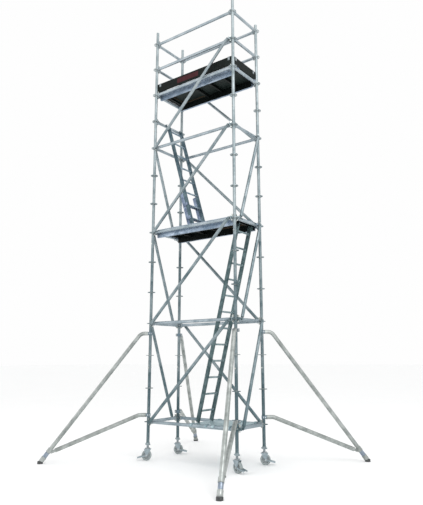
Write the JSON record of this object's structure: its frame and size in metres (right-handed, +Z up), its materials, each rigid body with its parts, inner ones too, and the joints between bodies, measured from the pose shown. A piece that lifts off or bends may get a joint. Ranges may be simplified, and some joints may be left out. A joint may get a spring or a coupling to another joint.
{
  "type": "mobile tower scaffold",
  "caption": "Ring-type modular scaffold tower on braked casters, with a guarded deck, rest platform, two inclined ladders and swing-out stabilisers.",
  "frame": {"origin": "on the floor under the middle of the tower, midway between the four standards and the four outrigger feet", "axes": "+Z up, +X along the long side towards the front_right and rear_right standards, +Y from the front face to the rear face"},
  "size_m": [3.9718, 3.391, 7.3],
  "materials": {
    "standard_steel": "hot-dip galvanised, dull spangle",
    "ledger_steel": "hot-dip galvanised tube with cast heads",
    "brace_steel": "hot-dip galvanised tube",
    "wedge_steel": "zinc plated, hammer marked",
    "film_faced_plywood": "dark film-faced plywood, anti-slip",
    "platform_aluminium": "mill-finish extrusion",
    "hatch_plywood": "dark film-faced plywood",
    "toe_board_wood": "painted black",
    "clip_steel": "galvanised strip",
    "label_vinyl": "plain red-brown patch, no lettering",
    "pin_steel": "zinc plated",
    "plank_steel": "galvanised sheet, worn",
    "ladder_aluminium": "mill-finish, scuffed rungs",
    "jack_steel": "zinc plated screw",
    "nut_iron": "galvanised casting",
    "caster_steel": "zinc plated pressing",
    "wheel_tyre": "grey rubber tread on a moulded core",
    "foot_rubber": "dark grey moulded rubber",
    "clamp_steel": "zinc plated forging",
    "outrigger_aluminium": "mill-finish tube"
  },
  "bodies": {
    "tower": {"front_left_standard": "standard_steel", "rear_left_standard": "standard_steel", "front_right_standard": "standard_steel", "rear_right_standard": "standard_steel", "long_ledgers": "ledger_steel", "short_ledgers": "ledger_steel", "long_braces": "brace_steel", "short_braces": "brace_steel", "ledger_wedges": "wedge_steel", "brace_wedges": "wedge_steel", "rest_platform_frame": "platform_aluminium", "rest_platform_boards": "film_faced_plywood", "deck_frame": "platform_aluminium", "deck_boards": "film_faced_plywood", "hatch_hinge_pins": "pin_steel", "toe_boards": "toe_board_wood", "toe_board_clips": "clip_steel", "toe_board_label": "label_vinyl", "base_planks": "plank_steel", "lower_ladder": "ladder_aluminium", "upper_ladder": "ladder_aluminium", "upper_ladder_foot": "ladder_aluminium"},
    "front_left_nut": {"front_left_jack_nut": "nut_iron"},
    "front_left_jack": {"front_left_jack_stem": "jack_steel"},
    "front_left_caster": {"front_left_caster_fork": "caster_steel"},
    "front_left_wheel": {"front_left_caster_wheel": "wheel_tyre"},
    "front_left_brake": {"front_left_brake_pedal": "caster_steel"},
    "front_left_outrigger": {"front_left_outrigger_tube": "outrigger_aluminium", "front_left_outrigger_strut": "outrigger_aluminium", "front_left_outrigger_clamps": "clamp_steel", "front_left_outrigger_foot": "foot_rubber"},
    "rear_left_nut": {"rear_left_jack_nut": "nut_iron"},
    "rear_left_jack": {"rear_left_jack_stem": "jack_steel"},
    "rear_left_caster": {"rear_left_caster_fork": "caster_steel"},
    "rear_left_wheel": {"rear_left_caster_wheel": "wheel_tyre"},
    "rear_left_brake": {"rear_left_brake_pedal": "caster_steel"},
    "rear_left_outrigger": {"rear_left_outrigger_tube": "outrigger_aluminium", "rear_left_outrigger_strut": "outrigger_aluminium", "rear_left_outrigger_clamps": "clamp_steel", "rear_left_outrigger_foot": "foot_rubber"},
    "front_right_nut": {"front_right_jack_nut": "nut_iron"},
    "front_right_jack": {"front_right_jack_stem": "jack_steel"},
    "front_right_caster": {"front_right_caster_fork": "caster_steel"},
    "front_right_wheel": {"front_right_caster_wheel": "wheel_tyre"},
    "front_right_brake": {"front_right_brake_pedal": "caster_steel"},
    "front_right_outrigger": {"front_right_outrigger_tube": "outrigger_aluminium", "front_right_outrigger_strut": "outrigger_aluminium", "front_right_outrigger_clamps": "clamp_steel", "front_right_outrigger_foot": "foot_rubber"},
    "rear_right_nut": {"rear_right_jack_nut": "nut_iron"},
    "rear_right_jack": {"rear_right_jack_stem": "jack_steel"},
    "rear_right_caster": {"rear_right_caster_fork": "caster_steel"},
    "rear_right_wheel": {"rear_right_caster_wheel": "wheel_tyre"},
    "rear_right_brake": {"rear_right_brake_pedal": "caster_steel"},
    "rear_right_outrigger": {"rear_right_outrigger_tube": "outrigger_aluminium", "rear_right_outrigger_strut": "outrigger_aluminium", "rear_right_outrigger_clamps": "clamp_steel", "rear_right_outrigger_foot": "foot_rubber"},
    "rest_hatch": {"rest_platform_hatch": "hatch_plywood"},
    "deck_hatch_lid": {"deck_hatch": "hatch_plywood"}
  },
  "joints": [
    {"name": "front_left_nut_turn", "type": "hinge", "parent": "tower", "child": "front_left_nut", "pos_m": [-0.83, -0.35, 0.24], "axis": [0, 0, 1], "range_deg": [0, 9000]},
    {"name": "front_left_jack_slide", "type": "slide", "parent": "tower", "child": "front_left_jack", "axis": [0, 0, -1], "range_m": [0, 0.2]},
    {"name": "front_left_caster_swivel", "type": "hinge", "parent": "front_left_jack", "child": "front_left_caster", "pos_m": [-0.83, -0.35, 0.17], "axis": [0, 0, 1], "continuous": true},
    {"name": "front_left_wheel_spin", "type": "hinge", "parent": "front_left_caster", "child": "front_left_wheel", "pos_m": [-0.84213, -0.35882, 0.075], "axis": [0.5878, -0.809, 0], "continuous": true},
    {"name": "front_left_brake_press", "type": "hinge", "parent": "front_left_caster", "child": "front_left_brake", "pos_m": [-0.84213, -0.35882, 0.075], "axis": [0.5878, -0.809, 0], "range_deg": [0, 10]},
    {"name": "front_left_outrigger_swing", "type": "hinge", "parent": "tower", "child": "front_left_outrigger", "pos_m": [-0.83, -0.35, 1], "axis": [0, 0, 1], "range_deg": [-60, 60]},
    {"name": "rear_left_nut_turn", "type": "hinge", "parent": "tower", "child": "rear_left_nut", "pos_m": [-0.83, 0.35, 0.24], "axis": [0, 0, 1], "range_deg": [0, 9000]},
    {"name": "rear_left_jack_slide", "type": "slide", "parent": "tower", "child": "rear_left_jack", "axis": [0, 0, -1], "range_m": [0, 0.2]},
    {"name": "rear_left_caster_swivel", "type": "hinge", "parent": "rear_left_jack", "child": "rear_left_caster", "pos_m": [-0.83, 0.35, 0.17], "axis": [0, 0, 1], "continuous": true},
    {"name": "rear_left_wheel_spin", "type": "hinge", "parent": "rear_left_caster", "child": "rear_left_wheel", "pos_m": [-0.81786, 0.35882, 0.075], "axis": [-0.5878, 0.809, 0], "continuous": true},
    {"name": "rear_left_brake_press", "type": "hinge", "parent": "rear_left_caster", "child": "rear_left_brake", "pos_m": [-0.81786, 0.35882, 0.075], "axis": [-0.5878, 0.809, 0], "range_deg": [0, 10]},
    {"name": "rear_left_outrigger_swing", "type": "hinge", "parent": "tower", "child": "rear_left_outrigger", "pos_m": [-0.83, 0.35, 1], "axis": [0, 0, 1], "range_deg": [-60, 60]},
    {"name": "front_right_nut_turn", "type": "hinge", "parent": "tower", "child": "front_right_nut", "pos_m": [0.83, -0.35, 0.24], "axis": [0, 0, 1], "range_deg": [0, 9000]},
    {"name": "front_right_jack_slide", "type": "slide", "parent": "tower", "child": "front_right_jack", "axis": [0, 0, -1], "range_m": [0, 0.2]},
    {"name": "front_right_caster_swivel", "type": "hinge", "parent": "front_right_jack", "child": "front_right_caster", "pos_m": [0.83, -0.35, 0.17], "axis": [0, 0, 1], "continuous": true},
    {"name": "front_right_wheel_spin", "type": "hinge", "parent": "front_right_caster", "child": "front_right_wheel", "pos_m": [0.84481, -0.35235, 0.075], "axis": [0.1564, 0.9877, 0], "continuous": true},
    {"name": "front_right_brake_press", "type": "hinge", "parent": "front_right_caster", "child": "front_right_brake", "pos_m": [0.84481, -0.35235, 0.075], "axis": [0.1564, 0.9877, 0], "range_deg": [0, 10]},
    {"name": "front_right_outrigger_swing", "type": "hinge", "parent": "tower", "child": "front_right_outrigger", "pos_m": [0.83, -0.35, 1], "axis": [0, 0, 1], "range_deg": [-60, 60]},
    {"name": "rear_right_nut_turn", "type": "hinge", "parent": "tower", "child": "rear_right_nut", "pos_m": [0.83, 0.35, 0.24], "axis": [0, 0, 1], "range_deg": [0, 9000]},
    {"name": "rear_right_jack_slide", "type": "slide", "parent": "tower", "child": "rear_right_jack", "axis": [0, 0, -1], "range_m": [0, 0.2]},
    {"name": "rear_right_caster_swivel", "type": "hinge", "parent": "rear_right_jack", "child": "rear_right_caster", "pos_m": [0.83, 0.35, 0.17], "axis": [0, 0, 1], "continuous": true},
    {"name": "rear_right_wheel_spin", "type": "hinge", "parent": "rear_right_caster", "child": "rear_right_wheel", "pos_m": [0.84213, 0.35882, 0.075], "axis": [-0.5878, 0.809, 0], "continuous": true},
    {"name": "rear_right_brake_press", "type": "hinge", "parent": "rear_right_caster", "child": "rear_right_brake", "pos_m": [0.84213, 0.35882, 0.075], "axis": [-0.5878, 0.809, 0], "range_deg": [0, 10]},
    {"name": "rear_right_outrigger_swing", "type": "hinge", "parent": "tower", "child": "rear_right_outrigger", "pos_m": [0.83, 0.35, 1], "axis": [0, 0, 1], "range_deg": [-60, 60]},
    {"name": "rest_hatch_hinge", "type": "hinge", "parent": "tower", "child": "rest_hatch", "pos_m": [0.415, 0.2485, 3.62], "axis": [-1, 0, 0], "range_deg": [0, 95]},
    {"name": "deck_hatch_hinge", "type": "hinge", "parent": "tower", "child": "deck_hatch_lid", "pos_m": [-0.415, 0.2485, 6.12], "axis": [-1, 0, 0], "range_deg": [0, 95]}
  ],
  "couplings": [
    {"joint": "front_left_nut_turn", "follows": "front_left_jack_slide", "rad_per_m": 785.4},
    {"joint": "rear_left_nut_turn", "follows": "rear_left_jack_slide", "rad_per_m": 785.4},
    {"joint": "front_right_nut_turn", "follows": "front_right_jack_slide", "rad_per_m": 785.4},
    {"joint": "rear_right_nut_turn", "follows": "rear_right_jack_slide", "rad_per_m": 785.4}
  ]
}
